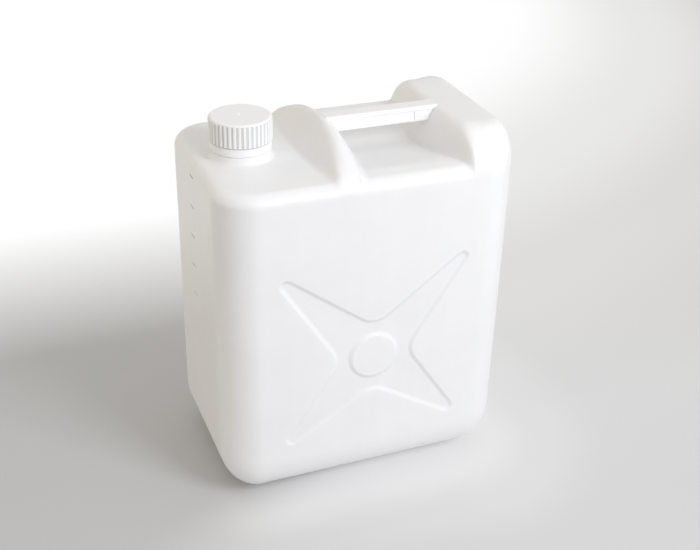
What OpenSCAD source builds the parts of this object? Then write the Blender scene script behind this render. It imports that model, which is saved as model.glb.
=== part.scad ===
// Flat ten-litre canister, blown from milky plastic, with a moulded carrying handle and a screw cap.
// The origin is at the middle of the base on the floor. X runs along the width from the neck towards
// the shoulder, Y from the front panel to the back panel, Z up.

/* [Blown body] */
// Overall width, from the neck side to the shoulder side
body_w = 244; // [200:1:300]
// Overall depth, from the front panel to the back panel
body_d = 162; // [140:1:200]
// Height of the flat deck around the neck
deck_h = 281; // [230:1:340]
// Height of the hump and the shoulder above the deck
rise = 24; // [22:1:36]
// Thickness of the blown wall
wall = 1.8; // [1.2:0.1:2.6]
// Radius of the four upright corners, seen from above
corner_r = 31; // [24:1:40]
// Radius of the big rounding round the base
heel_r = 45; // [30:1:55]
// Radius of the edge between the deck and the walls
edge_r = 10; // [6:1:14]
// Width of the flat ring that the body stands on
base_ring = 8; // [4:1:12]
// Depth of the pushed-up middle of the base
base_push = 2; // [1:0.5:4]

/* [Hump, bay and shoulder] */
// Distance from the neck-side wall to the foot of the hump, at the middle of the depth
hump_in = 83.5; // [80:0.5:87]
// Width of the hump between its two feet, at deck height
hump_w = 38.5; // [36:0.5:46]
// How far the hump's foot on the neck side moves in towards the front and back
hump_bow = 6; // [0:1:12]
// Steepness of the hump on the neck side, rise over run
hump_left_slope = 1.3; // [1.2:0.1:2.4]
// Steepness of the hump on the handle side, rise over run
hump_right_slope = 2; // [1.3:0.1:3]
// Length of the shoulder's top, from its edge over the bay to the side wall
shoulder_w = 45; // [38:1:50]
// Run of the shoulder's face for each millimetre of height, at the middle
shoulder_lean = 0.4; // [0.3:0.05:0.7]
// The same run where the face meets the front and back panels
shoulder_lean_end = 0.15; // [0.1:0.05:0.3]
// Rounding of the crest between the shoulder's face and its top
crest_round = 9; // [5:0.5:11]
// Rounding of the shoulder's top towards the front and back
shoulder_round = 34; // [20:1:38]
// Rounding of the shoulder's top towards the side wall
shoulder_side_round = 13; // [10:1:24]
// How far the bay's floor dips below the deck, for the fingers
bay_dip = 8; // [0:1:14]
// Half of the depth over which the bay's floor dips
bay_half = 62; // [40:1:68]

/* [Star panel] */
// Height of the star's centre above the floor
star_z = 128; // [110:1:150]
// Depth of the recessed star
star_depth = 2.5; // [1.5:0.5:4]
// Width of the sloping edge round the star
star_draft = 2.5; // [1:0.5:4]
// Sideways place of the star's upper tips before they are rounded
star_tip_up_x = 95; // [90:1:106]
// Height of the upper tips above the star's centre
star_tip_up_z = 100; // [90:1:110]
// Sideways place of the star's lower tips before they are rounded
star_tip_down_x = 88; // [80:1:94]
// Depth of the lower tips below the star's centre
star_tip_down_z = 84; // [74:1:88]
// Height of the upper notch above the star's centre
star_notch_up = 29; // [24:1:32]
// Depth of the lower notch below the star's centre
star_notch_down = 30; // [26:1:34]
// Distance of the side notches from the star's centre
star_notch_side = 30; // [26:0.5:34]
// Rounding of the star's four tips
tip_r = 5.5; // [4:0.5:9]
// Rounding of the four notches between the star's arms
notch_r = 17; // [10:1:20]
// Radius of the raised round boss in the star's centre
boss_r = 18.7; // [14:0.1:21]

/* [Neck] */
// Distance from the neck-side wall to the neck's axis
neck_in = 39.5; // [36:0.5:46]
// Radius of the mouth's bore
bore_r = 17.5; // [14:0.5:18.5]
// Radius of the neck where the cap's skirt goes over it
neck_r = 20.3; // [19:0.1:21]
// Radius of the collar at the neck's root
collar_r = 23.6; // [22.5:0.1:24.5]
// Height of the collar above the deck
collar_h = 6.6; // [5:0.1:8]
// Height of the neck's lip above the deck
neck_h = 28; // [25:0.5:32]

/* [Screw cap and band] */
// Radius of the cap between its grip ribs
cap_r = 23.8; // [23.4:0.1:24.5]
// Height of the grip ribs out of the cap's side
rib_h = 0.6; // [0.3:0.1:1]
// Number of grip ribs round the cap
rib_count = 40; // [30:1:60]
// Wall thickness of the cap's skirt
skirt_t = 1.9; // [1.5:0.1:2.2]
// Thickness of the cap's flat top
cap_top_t = 2.4; // [1.6:0.1:3]
// Thickness of the sealing disc inside the cap
liner_t = 1.4; // [0.8:0.1:2]
// Height of the tamper band
band_h = 6.2; // [4:0.1:7]
// Gap between the tamper band and the cap's skirt
band_gap = 0.5; // [0.3:0.1:0.8]
// Running clearance between separate pieces
clearance = 0.3; // [0.2:0.05:0.4]

/* [Handle] */
// Depth of the handle's bar, front to back
grip_d = 15.2; // [13:0.2:20]
// Height of the handle's bar
grip_h = 13; // [11:0.5:16]
// Radius of the upper edges of the handle's bar
grip_edge = 2.2; // [1:0.1:4]
// Height of the flange along the top of the bar
flange_h = 3.6; // [2:0.2:5]
// How far the bar's sides step in below the flange
flange_step = 0.9; // [0.4:0.1:1.6]
// Thickness of the bar's walls round the hollow in its underside
grip_wall = 2.8; // [2:0.1:4]
// How far each end of the bar is let into the body
seat_l = 4; // [3:0.5:8]
// Depth of the long panel sunk into each side of the bar
panel_depth = 0.8; // [0.4:0.1:1.2]

/* [Hidden] */

milky = [0.93, 0.94, 0.95];
bright = [0.97, 0.98, 0.99];
foam = [0.88, 0.9, 0.9];

top_h = deck_h + rise;
spring_h = deck_h - edge_r;
arch_r = (pow(body_d / 2, 2) + pow(rise, 2)) / (2 * rise);
arch_z = top_h - arch_r;
hump_left = hump_in - body_w / 2;
hump_right = hump_left + hump_w;
hump_edge = hump_right - rise / hump_right_slope;
hump_crest = min(hump_left + rise / hump_left_slope, hump_edge - 2);
shoulder_left = body_w / 2 - shoulder_w;
shoulder_foot = shoulder_left - shoulder_lean * (rise + bay_dip);
neck_x = neck_in - body_w / 2;
hump_blend = 16;
hump_left_blend = 5;
hump_foot_blend = 8;
hump_left_foot_blend = 3.5;
foot_blend = 5;
shoulder_swing = 3;
base_ramp = min(14, 0.5 * (body_d / 2 - heel_r - base_ring));

lip_h = deck_h + neck_h;
band_z = deck_h + collar_h + clearance;
skirt_z = band_z + band_h + band_gap;
skirt_r = cap_r - skirt_t;
bead_r = neck_r + 0.9;
bead_z = 2.4;
cap_under = lip_h + clearance + liner_t + clearance;
cap_top = cap_under + cap_top_t;

// Smooth minimum and maximum of two heights, blended over k
function smin(a, b, k) = let(h = max(k - abs(a - b), 0) / k) min(a, b) - h * h * k / 4;
function smax(a, b, k) = -smin(-a, -b, k);

// Distance of a plan point from the outline, and how wide the top edge is rounded there
function plan_inset(x, y) =
    let(ax = abs(x) - body_w / 2 + corner_r, ay = abs(y) - body_d / 2 + corner_r)
    ax > 0 && ay > 0 ? corner_r - norm([ax, ay]) : min(body_w / 2 - abs(x), body_d / 2 - abs(y));
function side_share(x, y) =
    let(ax = abs(x) - body_w / 2 + corner_r, ay = abs(y) - body_d / 2 + corner_r)
    ax <= 0 ? 0 : ay <= 0 ? 1 : ax * ax / (ax * ax + ay * ay);

// The hump's top and its handle side are turned about an axis along X, so they curve in towards both ends
function hump_round(x, y, w) =
    let(slope = (hump_right - x) * hump_right_slope - w * norm([1, hump_right_slope]),
        r = arch_r - rise + smin(slope, rise - w, hump_blend))
    r > abs(y) ? arch_z + sqrt(r * r - y * y) : 0;

// The face on the neck side is nearly flat; its foot bows towards the middle of the body at the ends
function hump_foot(y) = hump_left + hump_bow * pow(2 * y / body_d, 2);
function hump_top(x, y, w) =
    smin(hump_round(x, y, w),
        deck_h + (x - hump_foot(y)) * hump_left_slope - w * norm([1, hump_left_slope]), hump_left_blend);

// How the shoulder's face leans from the middle of the depth, t = 0, to its ends, t = 1
function shoulder_run(t) = shoulder_lean_end + (shoulder_lean - shoulder_lean_end) * pow(1 - t, 1.5);

// The face meets the shoulder's top in a round crest
function shoulder_top(x, y, w) =
    let(t = min(1, pow(2 * y / body_d, 2)),
        run = shoulder_run(t),
        crest = shoulder_left + shoulder_swing * t,
        lean = atan(1 / run),
        r = crest_round - w,
        flat_from = crest + crest_round * tan(lean / 2))
    x > flat_from ? top_h - w :
    x > flat_from - r * sin(lean) ? top_h - crest_round + sqrt(r * r - pow(flat_from - x, 2)) :
    top_h + (x - crest) / run - w * norm([1, 1 / run]);

// Deck on the neck side of the hump, dipped bay on the other
function floor_top(x, y, w) =
    let(t = min(1, pow(y / bay_half, 2)), in_bay = x > (hump_left + hump_right) / 2 ? 1 : 0)
    deck_h - w - in_bay * bay_dip * pow(1 - t, 1.5);

function crown(x, y, w) =
    let(k = x < hump_crest + 6 ? hump_left_foot_blend : hump_foot_blend)
    smax(smax(floor_top(x, y, w), hump_top(x, y, w), k), shoulder_top(x, y, w), foot_blend);

// Width of the rounded top edge: small round the deck, large round the shoulder
function shoulder_share(x, y) = max(0, min(1, (shoulder_top(x, y, 0) - deck_h) / rise));
function edge_width(x, y) =
    let(s = side_share(x, y), big = s * shoulder_side_round + (1 - s) * shoulder_round)
    edge_r + (big - edge_r) * shoulder_share(x, y);

function top_height(x, y, w) =
    let(a = edge_width(x, y) - w, u = min(1, max(0, (plan_inset(x, y) - w) / a)))
    spring_h + (crown(x, y, w) - spring_h) * sqrt(max(0, 1 - (1 - u) * (1 - u)));

// Height of the base's underside: flat ring to stand on, pushed up in the middle
function base_height(x, y, w) =
    let(t = max(0, min(1, (plan_inset(x, y) - heel_r - base_ring) / base_ramp)))
    w + base_push * t * t * (3 - 2 * t);

// Sections follow the feet and the crests of the hump and the shoulder, so they bend with y
function flow_x(u, y) =
    let(grow = norm([deck_h - arch_z, y]) - (deck_h - arch_z),
        t = min(1, pow(2 * y / body_d, 2)),
        foot = hump_foot(y),
        low = hump_right - grow / hump_right_slope,
        edge = min(hump_edge, low - 5),
        high = min(foot + max(6, (rise - grow) / hump_left_slope), edge - 2),
        crest_y = shoulder_left + shoulder_swing * t,
        foot_y = crest_y - shoulder_run(t) * (top_h - floor_top(shoulder_left, y, 0)))
    lookup(u, [[-body_w / 2, -body_w / 2], [hump_left - 12, hump_left - 12],
        [hump_left - 5, foot - 5], [hump_left, foot], [hump_crest, high], [hump_edge, edge],
        [hump_right, low], [hump_right + 6, low + 6],
        [hump_right + 24, hump_right + 24], [shoulder_foot - 16, shoulder_foot - 16],
        [shoulder_foot - 4, foot_y - 4], [shoulder_foot, foot_y], [shoulder_left, crest_y],
        [shoulder_left + 5, crest_y + 5],
        [shoulder_left + 14, shoulder_left + 14], [body_w / 2, body_w / 2]]);

// One closed section across the body, going round from the base up the back, over and down the front
function section(u, w, n_heel, n_edge, n_base, n_top) =
    let(end = max(0.15, body_w / 2 - w - abs(u)),
        half = body_d / 2 - w,
        rc = corner_r - w,
        rh = heel_r - w,
        re = edge_width(flow_x(u, half), half - rc / 2) - w,
        heel_turn = acos(1 - min(end, rh) / rh),
        edge_turn = acos(1 - min(end, re) / re),
        heel = [for (k = [0 : n_heel])
            let(a = heel_turn * k / n_heel, i = rh * (1 - cos(a)))
            [side_y(i, end, half, rc), w + rh * (1 - sin(a))]],
        edge = [for (k = [0 : n_edge])
            let(a = edge_turn * k / n_edge, i = re * (1 - cos(a)))
            side_y(i, end, half, rc)],
        yb = heel[n_heel][0],
        lift = heel[n_heel][1] - w,
        yt = edge[n_edge],
        in_y = body_d / 2 - heel_r - base_ring,
        in_base = [for (j = [0 : n_base]) in_y - base_ramp * j / n_base],
        under = concat([-yb], [for (y = in_base) -y], [0], [for (j = [n_base : -1 : 0]) in_base[j]], [yb]),
        over = concat([for (k = [0 : n_edge - 1]) edge[k]],
            [for (j = [0 : n_top]) yt * (1 - 2 * j / n_top)],
            [for (k = [n_edge - 1 : -1 : 0]) -edge[k]]))
    concat(
        [for (y = under) let(x = flow_x(u, y)) [x, y, lift + base_height(x, y, w)]],
        [for (k = [n_heel - 1 : -1 : 0]) [flow_x(u, heel[k][0]), heel[k][0], heel[k][1]]],
        [for (y = over) let(x = flow_x(u, y)) [x, y, top_height(x, y, w)]],
        [for (k = [0 : n_heel - 1]) [flow_x(u, heel[k][0]), -heel[k][0], heel[k][1]]]);

// Half depth of the plan outline moved in by i, at a distance end from the nearer end
function side_y(i, end, half, rc) =
    end < rc ? half - rc + sqrt(max(0, pow(rc - i, 2) - pow(rc - end, 2))) : half - i;

// Places along X where the sections stand: close together on the roundings and the slopes
function stations(w, n_end, step) =
    let(out = [for (k = [1 : n_end]) (heel_r - w) * (1 - cos(90 * k / n_end))],
        edge_x = body_w / 2 - w)
    concat(
        [-edge_x],
        [for (d = out) -edge_x + d],
        [for (k = [0 : 2]) let(x = heel_r + base_ring + k * base_ramp / 2 - body_w / 2) if (x < hump_left - 13) x],
        [hump_left - 12],
        [for (x = [hump_left - 5 : step : hump_right + 6.5]) x],
        [hump_right + 24, shoulder_foot - 16],
        [for (x = [shoulder_foot - 4 : step : shoulder_left + 9]) x],
        [for (k = [n_end - 1 : -1 : 0]) if (edge_x - out[k] > shoulder_left + 11) edge_x - out[k]],
        [edge_x]);

// Skin through the sections, closed at each end by a fan round the middle of the last section
module loft(sections) {
    n = len(sections[0]);
    m = len(sections);
    points = concat([for (s = sections) each s], [mean(sections[0]), mean(sections[m - 1])]);
    sides = [for (i = [0 : m - 2], j = [0 : n - 1])
        let(a = i * n + j, b = i * n + (j + 1) % n, c = b + n, d = a + n)
        each [[a, c, b], [a, d, c]]];
    first = [for (j = [0 : n - 1]) [j, (j + 1) % n, m * n]];
    last = [for (j = [0 : n - 1]) let(k = (m - 1) * n) [k + j, m * n + 1, k + (j + 1) % n]];
    polyhedron(points = points, faces = concat(sides, first, last), convexity = 6);
}

function mean(points) = [for (p = points) 1] * points / len(points);

module outer_form() {
    loft([for (x = stations(0, 10, 2.6)) section(x, 0, 8, 6, 2, 16)]);
}

module cavity_form() {
    loft([for (x = stations(wall, 5, 5)) section(x, wall, 5, 3, 1, 8)]);
}

// Arc that rounds the corner b between a and c; the whole outline lies d further out, to its left
function fillet(a, b, c, r, n, d) =
    let(u = (a - b) / norm(a - b),
        v = (c - b) / norm(c - b),
        half = acos(u * v) / 2,
        centre = b + (u + v) / norm(u + v) * r / sin(half),
        from = b + u * r / tan(half) - centre,
        to = b + v * r / tan(half) - centre,
        side = sign(from.x * to.y - from.y * to.x),
        turn = acos(from * to / (r * r)) * side,
        share = (r - side * d) / r)
    [for (k = [0 : n]) let(t = turn * k / n)
        centre + share * [from.x * cos(t) - from.y * sin(t), from.x * sin(t) + from.y * cos(t)]];

// Corners of the star, clockwise from the upper notch, each with its rounding
star_corners = [
    [[0, star_notch_up], notch_r], [[star_tip_up_x, star_tip_up_z], tip_r],
    [[star_notch_side, 1], notch_r], [[star_tip_down_x, -star_tip_down_z], tip_r],
    [[0, -star_notch_down], notch_r], [[-star_tip_down_x, -star_tip_down_z], tip_r],
    [[-star_notch_side, 1], notch_r], [[-star_tip_up_x, star_tip_up_z], tip_r]];

function star_outline(n, d) =
    let(m = len(star_corners))
    [for (i = [0 : m - 1])
        each fillet(star_corners[(i + m - 1) % m][0], star_corners[i][0],
            star_corners[(i + 1) % m][0], star_corners[i][1], n, d)];

// Star sunk into a panel at y = 0 that faces -y; grow widens it, steps give the slope of its edges
module star_cut(grow, n, steps) {
    translate([0, 0, star_z])
        difference() {
            loft([for (s = steps)
                [for (p = star_outline(n, grow + s[0] * star_draft)) [p.x, s[1] * star_depth, p.y]]]);
            rotate([-90, 0, 0])
                translate([0, 0, -2 * star_depth])
                cylinder(h = 3.5 * star_depth, r1 = boss_r - grow - 1.5, r2 = boss_r - grow + star_draft, $fn = 64);
        }
}

module on_both_panels(y) {
    translate([0, -y, 0]) children();
    mirror([0, 1, 0]) translate([0, -y, 0]) children();
}

module body() {
    color(milky)
    difference() {
        union() {
            difference() {
                outer_form();
                on_both_panels(body_d / 2)
                    star_cut(0, 4, [[0.1, -0.4], [-0.2, 0.15], [-0.5, 0.5], [-0.8, 0.85], [-1, 1]]);
                difference() {
                    cavity_form();
                    on_both_panels(body_d / 2 - wall)
                        star_cut(wall, 4, [[0.4, -0.4], [-1, 1]]);
                    grip_seat(clearance + wall, 6);
                }
                grip_seat(clearance, 0);
            }
            neck();
        }
        translate([neck_x, 0, deck_h - wall - 4])
            cylinder(h = neck_h + wall + 5, r = bore_r, $fn = 96);
    }
}

// Neck with its collar and the bead that keeps the tamper band down; the thread is in the fine detail
module neck() {
    z = wall + collar_h;
    translate([neck_x, 0, deck_h - wall])
        rotate_extrude($fn = 96)
        polygon([[bore_r - 1, 0], [collar_r + 3, 0], [collar_r + 3, wall - 0.3],
            [collar_r + 1.2, wall + 0.5], [collar_r + 0.3, wall + 1.6], [collar_r, wall + 3.2],
            [collar_r, z - 0.6], [collar_r - 0.6, z], [neck_r, z],
            [neck_r, z + bead_z], [bead_r, z + bead_z + 0.6], [bead_r, z + bead_z + 1.4],
            [neck_r, z + bead_z + 2.4], [neck_r, wall + neck_h - 0.8],
            [neck_r - 0.8, wall + neck_h], [bore_r - 1, wall + neck_h]]);
}

// Section of the handle's bar, standing in Y and Z with its top at z = 0
module grip_section() {
    a = grip_d / 2;
    b = a - flange_step;
    r = grip_edge;
    e = 1.6;
    side = concat(
        [for (k = [0 : 5]) let(t = 18 * k) [a - r + r * sin(t), -r + r * cos(t)]],
        [[a, -flange_h + 0.8], [b, -flange_h]],
        [for (k = [0 : 3]) let(t = 30 * k) [b - e + e * cos(t), -grip_h + e - e * sin(t)]]);
    n = len(side);
    polygon(concat(side, [for (k = [n - 1 : -1 : 0]) [-side[k][0], side[k][1]]]));
}

// Bar from the hump to the shoulder, hollow and ribbed underneath, with both ends let into the body
module handle() {
    color(bright)
    difference() {
        grip_bar(0, 0);
        grip_hollow();
        grip_panels();
    }
}

// The bar as a plain solid, all round bigger by g and raised by up
module grip_bar(g, up) {
    deep = grip_h + 6;
    left = hump_edge - seat_l - g;
    right = shoulder_left + seat_l + g;
    intersection() {
        translate([left - 2, 0, top_h])
            rotate([90, 0, 90])
            linear_extrude(right - left + 4) {
                offset(delta = g) grip_section();
                translate([0, up]) offset(delta = g) grip_section();
            }
        translate([0, grip_d, top_h])
            rotate([90, 0, 0])
            linear_extrude(2 * grip_d)
            polygon([[left - up / hump_right_slope, up + 2 * g], [left + deep / hump_right_slope, -deep],
                [right - shoulder_lean * deep, -deep], [right + shoulder_lean * up, up + 2 * g]]);
    }
}

// The two seats in the body that hold the bar's ends
module grip_seat(g, up) {
    grip_bar(g, up);
}

// Pockets in the bar's underside, with cross ribs left between them
module grip_hollow() {
    from = hump_right + 8;
    to = shoulder_foot - 8 + 8 * shoulder_lean;
    n = 5;
    pitch = (to - from + 2) / n;
    w = grip_d - 2 * flange_step - 2 * grip_wall;
    for (i = [0 : n - 1])
        translate([from + i * pitch, -w / 2, top_h - grip_h - 1])
            cube([pitch - 2, w, grip_h - grip_wall - 0.6 + 1]);
}

// Long shallow panels between the flange and the bar's lower edge, closed towards the shoulder
module grip_panels() {
    low = 2;
    for (side = [-1, 1])
        translate([hump_edge - seat_l - 2, side * (grip_d / 2 - flange_step) - panel_depth, 0])
            translate([0, 0, top_h - grip_h + low])
            cube([shoulder_foot - hump_right + 14, 2 * panel_depth, grip_h - low - flange_h - 0.4]);
}

// Cross-section of the cap with its grip ribs
module ribbed_disc() {
    step = 360 / rib_count;
    polygon([for (i = [0 : rib_count - 1]) each [
        let(a = i * step - step * 0.34) cap_r * [cos(a), sin(a)],
        let(a = i * step - step * 0.18) (cap_r + rib_h) * [cos(a), sin(a)],
        let(a = i * step + step * 0.18) (cap_r + rib_h) * [cos(a), sin(a)],
        let(a = i * step + step * 0.34) cap_r * [cos(a), sin(a)]]]);
}

module screw_cap() {
    r = 1.8;
    color(bright)
    translate([neck_x, 0, 0])
    difference() {
        union() {
            rotate_extrude($fn = 96)
                polygon(concat([[0, skirt_z], [cap_r, skirt_z]],
                    [for (k = [0 : 5]) let(t = 18 * k)
                        [cap_r - r + r * cos(t), cap_top - r + r * sin(t)]],
                    [[1.6, cap_top], [0.8, cap_top - 0.5], [0, cap_top - 0.6]]));
            translate([0, 0, skirt_z + 0.7])
                linear_extrude(cap_top - skirt_z - r - 0.4)
                ribbed_disc();
        }
        translate([0, 0, skirt_z - 1])
            cylinder(h = cap_under - skirt_z + 1, r = skirt_r, $fn = 96);
    }
}

module cap_liner() {
    color(foam)
    translate([neck_x, 0, lip_h + clearance])
        cylinder(h = liner_t, r = skirt_r - clearance, $fn = 96);
}

// Band that stays on the neck; its inner lip catches under the neck's bead
module tamper_band() {
    lip = neck_r + clearance;
    inner = bead_r + clearance;
    color(bright)
    translate([neck_x, 0, band_z])
        rotate_extrude($fn = 96)
        polygon([[lip, 0], [cap_r - 0.3, 0], [cap_r, 0.3], [cap_r, band_h - 0.3],
            [cap_r - 0.3, band_h], [inner, band_h], [inner, bead_z - 2 * clearance],
            [lip, bead_z - 3 * clearance]]);
}

body();
handle();
screw_cap();
cap_liner();
tamper_band();
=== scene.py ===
"""Looks of the flat ten-litre canister.

A finer skin replaces the blown body, and both threads and the fill marks are added. Then come the
materials of all pieces, the paper floor, the sky, the key light and the camera. Sizes are in
millimetres, except for names that end in _M, which are in metres.
"""

import math
from collections import namedtuple

import bmesh
import bpy
import numpy as np
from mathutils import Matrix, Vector


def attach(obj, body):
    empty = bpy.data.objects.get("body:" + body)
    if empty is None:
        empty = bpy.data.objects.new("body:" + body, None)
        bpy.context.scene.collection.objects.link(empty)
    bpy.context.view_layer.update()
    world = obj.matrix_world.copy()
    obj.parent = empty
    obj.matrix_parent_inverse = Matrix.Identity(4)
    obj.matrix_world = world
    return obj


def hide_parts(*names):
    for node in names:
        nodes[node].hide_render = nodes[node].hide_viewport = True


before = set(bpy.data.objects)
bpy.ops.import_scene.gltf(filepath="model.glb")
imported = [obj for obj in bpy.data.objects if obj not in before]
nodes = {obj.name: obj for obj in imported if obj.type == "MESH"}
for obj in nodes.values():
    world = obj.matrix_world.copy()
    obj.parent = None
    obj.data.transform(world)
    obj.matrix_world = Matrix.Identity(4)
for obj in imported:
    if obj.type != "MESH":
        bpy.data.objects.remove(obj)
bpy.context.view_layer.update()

MM = 0.001

# Blown body, with the same sizes as the part's
WIDTH, DEPTH = 244.0, 162.0
DECK, RISE = 281.0, 24.0
WALL = 1.8
CORNER_R, HEEL_R, EDGE_R = 31.0, 45.0, 10.0
BASE_RING, BASE_PUSH, BASE_RAMP = 8.0, 2.0, 14.0
HUMP_LEFT, HUMP_RIGHT, HUMP_BOW = -38.5, 0.0, 6.0
HUMP_SLOPE_LEFT, HUMP_SLOPE_RIGHT = 1.3, 2.0
HUMP_BLEND, HUMP_LEFT_BLEND = 16.0, 5.0
HUMP_FOOT_BLEND, HUMP_LEFT_FOOT_BLEND, LEFT_FOOT_REACH = 8.0, 3.5, 6.0
FOOT_BLEND, CREST_ROUND = 5.0, 9.0
SHOULDER_LEFT, SHOULDER_SWING = 77.0, 3.0
SHOULDER_LEAN, SHOULDER_LEAN_END, LEAN_POWER = 0.4, 0.15, 1.5
SHOULDER_ROUND, SHOULDER_SIDE_ROUND = 34.0, 13.0
BAY_DIP, BAY_HALF, BAY_POWER = 8.0, 62.0, 1.5

# Least widths of the hump's two slopes and of its crest, where the hump is low
SLOPE_LEAST_LEFT, SLOPE_LEAST_RIGHT, CREST_LEAST = 6.0, 5.0, 2.0

# The body's sections run along with hump and shoulder up to the near distances from them, and
# stand straight from the far ones on
HUMP_NEAR_LEFT, HUMP_NEAR_RIGHT = 5.0, 6.0
HUMP_FAR_LEFT, HUMP_FAR_RIGHT = 12.0, 24.0
SHOULDER_NEAR_LEFT, SHOULDER_NEAR_RIGHT = 4.0, 5.0
SHOULDER_FAR_LEFT, SHOULDER_FAR_RIGHT = 16.0, 14.0

# Star recess, shallower than the part's. The soft slope is wider than the part's, whose width is
# the draft here, and half of the difference lies outside the outline
STAR_Z, STAR_DEPTH, STAR_DRAFT, STAR_SOFT = 128.0, 1.7, 2.5, 4.5
STAR_TIP_UP, STAR_TIP_DOWN = (95.0, 100.0), (88.0, 84.0)
STAR_NOTCH_UP, STAR_NOTCH_DOWN, STAR_NOTCH_SIDE = 29.0, 30.0, (30.0, 1.0)
TIP_R, NOTCH_R, BOSS_R = 5.5, 17.0, 18.7

# The star's cutter starts a little outside the outline and off the panel by a share of the star's
# depth. The boss is taken out of the cutter down to a share of the depth that is past its floor
CUTTER_OUT, CUTTER_OFF, BOSS_END = 0.8, 0.4, 1.5

# Neck, with the flare at its foot as (out from the collar, up from the deck). The spare is what
# the bore cuts away inside the wall and above the lip
NECK_X, BORE_R, NECK_R, COLLAR_R = -82.5, 17.5, 20.3, 23.6
COLLAR_H, NECK_H = 6.6, 28.0
NECK_FLARE = ((3.6, -0.5), (2.4, 0.05), (1.3, 0.5), (0.6, 1.2), (0.15, 2.2), (0.0, 3.4))
COLLAR_ROUND, COLLAR_ROUND_MIDDLE = 0.7, 0.2
LIP_ROUND, LIP_ROUND_MIDDLE = 0.8, 0.25
BEAD_R, BEAD_Z, BEAD_LOW, BEAD_HIGH, BEAD_END = 21.2, 2.4, 0.6, 1.4, 2.4
BORE_LEAD, BORE_BELOW, BORE_SPARE, AXIS_R = 0.6, 4.0, 1.0, 0.01

# Handle's bar and the seats that its ends are let into
GRIP_D, GRIP_H, GRIP_EDGE, GRIP_FOOT = 15.2, 13.0, 2.2, 1.6
FLANGE_H, FLANGE_STEP, FLANGE_SLOPE = 3.6, 0.9, 0.8
SEAT_L, SEAT_GAP, SEAT_ROOM = 4.0, 0.05, 6.0

# Saddle that lifts the hump's crest to the handle's top. Reach, start and end lie left of the
# place where the hump's right slope begins: its solid's left end, where it starts to lift, and its
# solid's right end. Deep is below the top, sink below the skin, and flat beside the bar
SADDLE_HALF, SADDLE_REACH, SADDLE_START, SADDLE_END = 12.0, 10.0, 9.0, 0.5
SADDLE_DEEP, SADDLE_SINK, SADDLE_FLAT = 9.0, 0.03, 0.3
SADDLE_RISE, SADDLE_FALL = 4.0, 3.0

# Cap
SKIRT_R, CAP_R, RIB_H = 21.9, 23.8, 0.6

# Threads: gap from the crest to the opposite wall, start below the lip, turns and width
Thread = namedtuple("Thread", "gap below turns width")
THREAD_PITCH = 4.0
NECK_THREAD = Thread(gap=0.5, below=11.6, turns=2.2, width=1.7)
CAP_THREAD = Thread(gap=0.4, below=9.6, turns=1.9, width=1.3)

# A ridge's foot and crest reach up and down by these shares of the width, its root is sunk into the
# wall, and its height tapers over some of the steps, of which a turn has 72, to a least share
THREAD_FOOT, THREAD_CREST, THREAD_SUNK = 0.5, 0.2, 0.3
THREAD_STEPS, THREAD_TAPER, THREAD_LEAST = 72, 16, 0.03

# Fill marks from the top down: where each starts along Y, and the grey of the dark bar of painted shade in
# its groove. Their grooves are cut from outside the wall, and the bars are sunk a little below the grooves
MARK_TOP, MARK_PITCH = 267.5, 26.4
MARK_LENGTH, MARK_HEIGHT, MARK_DEPTH = 10.0, 1.0, 0.5
MARK_CLEAR, MARK_SINK = 1.0, 0.1
MARK_FROM = (-3.4, -1.4, 0.4, 0.8, 0.8)
MARK_SHADOW_GREYS = (0.10, 0.10, 0.13, 0.2, 0.6)
MARK_SHADOW_TINT, MARK_ROUGHNESS = (1.0, 0.92, 0.84), 0.6

# Fineness of a skin: points round its ends, spacing of its sections at hump and shoulder and
# elsewhere, and points round heel, edge, base and top of each section
Fineness = namedtuple("Fineness", "ends fine coarse heel edge base top")
FINE_SKIN = Fineness(ends=24, fine=1.6, coarse=4.0, heel=20, edge=14, base=4, top=64)
CAVITY_SKIN = Fineness(ends=6, fine=4.0, coarse=20.0, heel=6, edge=4, base=2, top=12)
FINE_PAST_HUMP, FINE_PAST_SHOULDER = (8.0, 10.0), (8.0, 11.0)
END_HALF = 0.02
SADDLE_SECTIONS, SADDLE_POINTS = 24, 33
STAR_STEPS, INNER_STAR_STEPS, STAR_ARC_MORE, BOSS_STEPS = 8, 4, 2, 96
EDGE_POINTS, FOOT_POINTS = 8, 5
TURN_STEPS = 128

# Edges above these angles in degrees stay sharp, and the CAD's pieces get small soft edges
SHARP_BODY, SHARP_THREAD, SHARP_CAD = 50, 32, 28
SOFT_EDGE, SOFT_EDGE_STEPS = 0.3, 2

# Derived places
TOP = DECK + RISE
SPRING = DECK - EDGE_R
ARCH_R = ((DEPTH / 2) ** 2 + RISE**2) / (2 * RISE)
ARCH_Z = TOP - ARCH_R
LIP = DECK + NECK_H
HUMP_EDGE = HUMP_RIGHT - RISE / HUMP_SLOPE_RIGHT
HUMP_CREST = min(HUMP_LEFT + RISE / HUMP_SLOPE_LEFT, HUMP_EDGE - CREST_LEAST)
HUMP_MIDDLE = (HUMP_LEFT + HUMP_RIGHT) / 2
LEFT_FOOT_END = HUMP_CREST + LEFT_FOOT_REACH
SHOULDER_FOOT = SHOULDER_LEFT - SHOULDER_LEAN * (RISE + BAY_DIP)


# Form of the blown body, as heights over the plan. wall is the distance inside the outer skin


def smooth_min(a, b, blend):
    """The lesser of a and b, rounded where they differ by less than blend."""
    near = np.maximum(blend - np.abs(a - b), 0) / blend
    return np.minimum(a, b) - near * near * blend / 4


def smooth_max(a, b, blend):
    """The greater of a and b, rounded in the same way."""
    return -smooth_min(-a, -b, blend)


def ease(t):
    """Runs softly from nothing to one as t does."""
    return t * t * (3 - 2 * t)


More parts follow.
